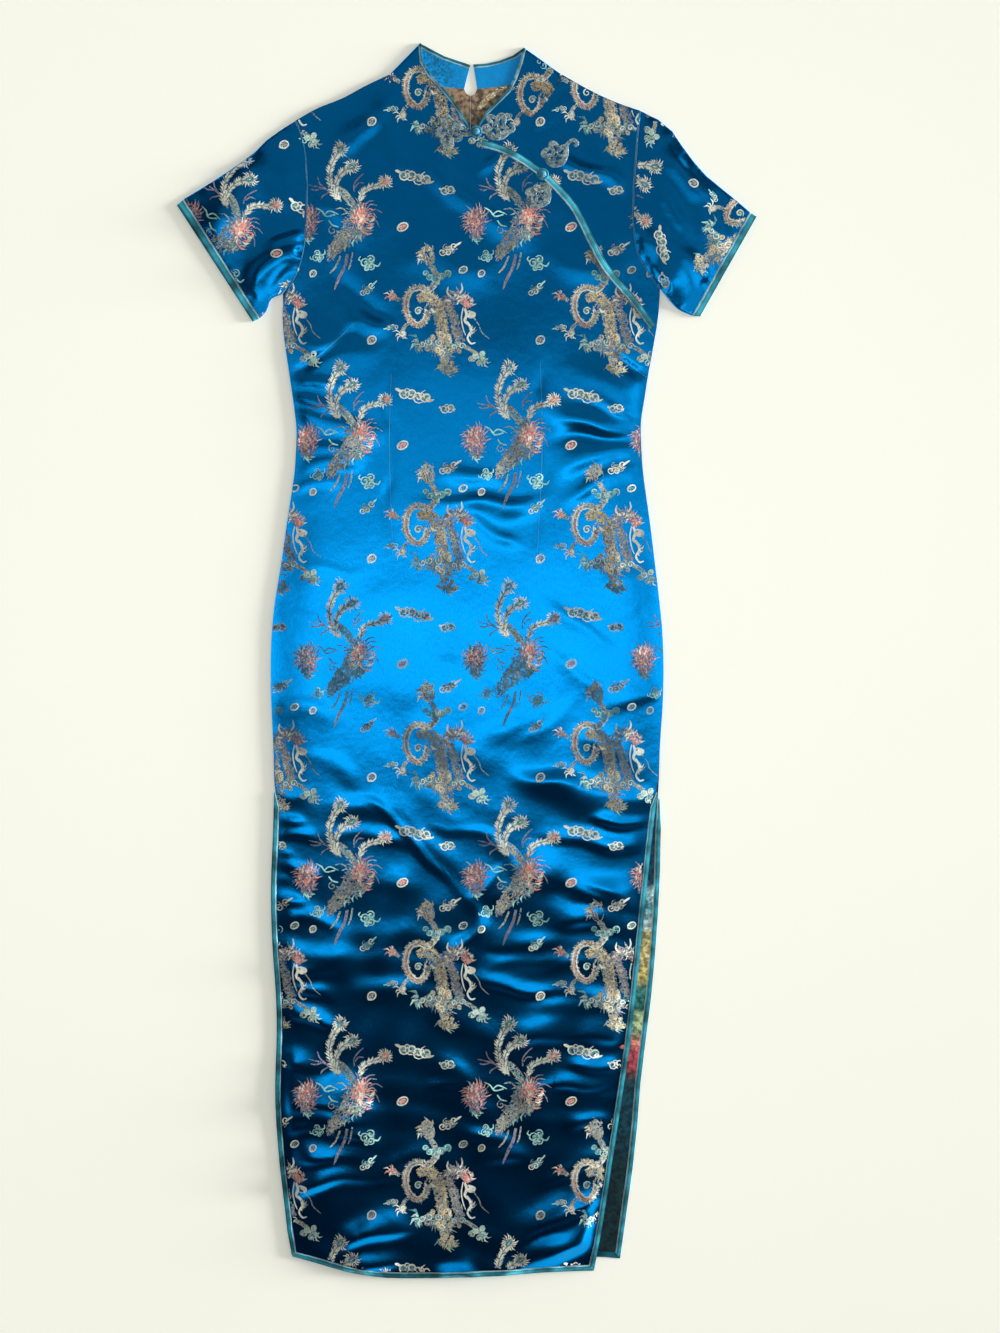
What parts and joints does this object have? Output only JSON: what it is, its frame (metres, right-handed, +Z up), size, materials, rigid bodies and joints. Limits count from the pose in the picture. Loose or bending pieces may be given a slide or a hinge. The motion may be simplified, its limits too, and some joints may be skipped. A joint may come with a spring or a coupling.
{
  "type": "cheongsam dress",
  "caption": "Long short-sleeved stand-collar dress of figured satin with side slits, bound edges, a curved flap line and flower frogs, lying flat with its front up.",
  "frame": {"origin": "the middle of the dress's bounding box in X and Y, on the surface it lies on", "axes": "+Y towards the collar, +X to the right as seen from above, +Z up out of the front of the dress"},
  "size_m": [0.6611, 1.4078, 0.0112],
  "materials": {
    "brocade": "azure figured satin with woven taupe, cream, coral and teal motifs",
    "satin_binding": "teal satin, cut on the bias",
    "frog_cord": "grey-teal corded satin"
  },
  "bodies": {
    "root": {"front": "brocade", "back_left": "brocade", "back_right": "brocade", "sleeve_left": "brocade", "sleeve_right": "brocade", "collar_left": "brocade", "collar_right": "brocade", "collar_binding_left": "satin_binding", "collar_binding_right": "satin_binding", "cuff_binding_left": "satin_binding", "cuff_binding_right": "satin_binding", "front_slit_binding_left": "satin_binding", "front_slit_binding_right": "satin_binding", "front_hem_binding": "satin_binding", "back_slit_binding_left": "satin_binding", "back_slit_binding_right": "satin_binding", "back_hem_binding": "satin_binding", "flap_piping": "satin_binding", "frog_neck_flower_a": "frog_cord", "frog_neck_flower_b": "frog_cord", "frog_neck_loop": "satin_binding", "frog_neck_knot": "satin_binding", "frog_chest_flower_a": "frog_cord", "frog_chest_flower_b": "frog_cord", "frog_chest_loop": "satin_binding", "frog_chest_knot": "satin_binding"}
  },
  "joints": []
}
